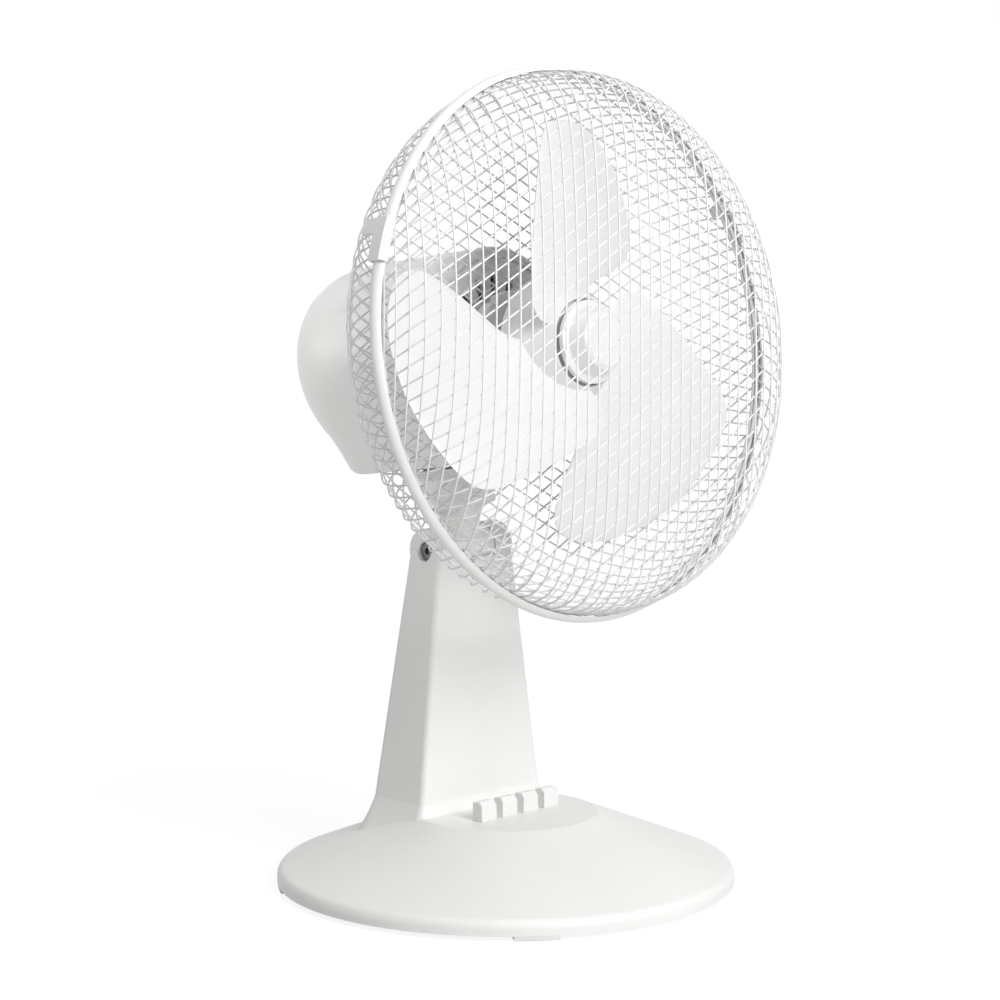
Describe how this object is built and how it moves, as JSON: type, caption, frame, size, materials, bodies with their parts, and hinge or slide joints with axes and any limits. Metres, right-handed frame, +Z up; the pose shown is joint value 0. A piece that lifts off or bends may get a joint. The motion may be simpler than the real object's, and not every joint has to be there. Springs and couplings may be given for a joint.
{
  "type": "desk fan",
  "caption": "Desk fan on a cone-shaped base with push keys, a tilting and swivelling head, leaf-shaped blades and a wire-mesh cage.",
  "frame": {"origin": "on the surface it stands on, under the centre of the round base", "axes": "+Z up, -Y the way the fan blows, +X to the right seen from the front"},
  "size_m": [0.34, 0.2961, 0.5142],
  "materials": {
    "white_plastic": "satin moulded white",
    "fan_plastic": "smooth pale moulding",
    "key_plastic": "smooth white",
    "white_wire": "white coated wire",
    "grey_plastic": "matt grey",
    "foot_rubber": "pale grey rubber",
    "grey_rubber": "grey rubber",
    "dark_plastic": "matt black",
    "nylon": "natural nylon",
    "zinc": "cast",
    "steel": "zinc plated",
    "iron": "raw casting",
    "lamination": "stacked sheet",
    "copper": "enamelled winding",
    "bronze": "sintered"
  },
  "bodies": {
    "stand": {"stand_shell": "white_plastic", "base_plate": "white_plastic", "foot_pads": "foot_rubber", "base_screws": "steel", "ballast_weight": "iron", "ballast_screws": "steel", "switch_body": "dark_plastic", "switch_screws": "steel", "capacitor": "dark_plastic", "terminal_block": "nylon", "cord_bush": "grey_rubber", "tilt_bolt": "steel", "tilt_nut": "steel", "friction_washers": "nylon"},
    "neck": {"neck": "white_plastic", "thrust_washer": "nylon", "set_screw": "steel"},
    "head": {"swivel_pin": "steel", "gear_case": "zinc", "gear_cover": "zinc", "gear_screws": "steel", "front_bell": "zinc", "bell_bolts": "steel", "stator_core": "lamination", "stator_coils": "copper", "front_bearing": "bronze", "rear_bearing": "bronze", "front_cover": "grey_plastic", "cover_screws": "steel", "rear_housing": "white_plastic", "housing_screw": "steel", "rear_guard": "white_wire", "guard_nut": "white_plastic", "trim_ring": "white_plastic", "ring_clips": "white_plastic", "front_guard": "white_wire"},
    "rotor": {"motor_shaft": "steel", "rotor_core": "lamination", "drive_pin": "steel", "fan_blade": "fan_plastic", "spinner": "fan_plastic"},
    "key_off": {"key_0": "key_plastic"},
    "key_low": {"key_1": "key_plastic"},
    "key_mid": {"key_2": "key_plastic"},
    "key_high": {"key_3": "key_plastic"}
  },
  "joints": [
    {"name": "tilt", "type": "hinge", "parent": "stand", "child": "neck", "pos_m": [0, 0.04, 0.211], "axis": [-1, 0, 0], "range_deg": [-18, 14]},
    {"name": "swing", "type": "hinge", "parent": "neck", "child": "head", "pos_m": [0, 0.04, 0.211], "axis": [0, 0.1495, 0.9888], "range_deg": [-40, 40]},
    {"name": "spin", "type": "hinge", "parent": "head", "child": "rotor", "pos_m": [0, -0.06192, 0.34626], "axis": [0, -0.9888, 0.1495], "continuous": true},
    {"name": "key_off_press", "type": "slide", "parent": "stand", "child": "key_off", "axis": [0, 0, -1], "range_m": [0, 0.005], "stiffness_N_per_m": 300, "springref_m": -0.003},
    {"name": "key_low_press", "type": "slide", "parent": "stand", "child": "key_low", "axis": [0, 0, -1], "range_m": [0, 0.005], "stiffness_N_per_m": 300, "springref_m": -0.003},
    {"name": "key_mid_press", "type": "slide", "parent": "stand", "child": "key_mid", "axis": [0, 0, -1], "range_m": [0, 0.005], "stiffness_N_per_m": 300, "springref_m": -0.003},
    {"name": "key_high_press", "type": "slide", "parent": "stand", "child": "key_high", "axis": [0, 0, -1], "range_m": [0, 0.005], "stiffness_N_per_m": 300, "springref_m": -0.003}
  ]
}
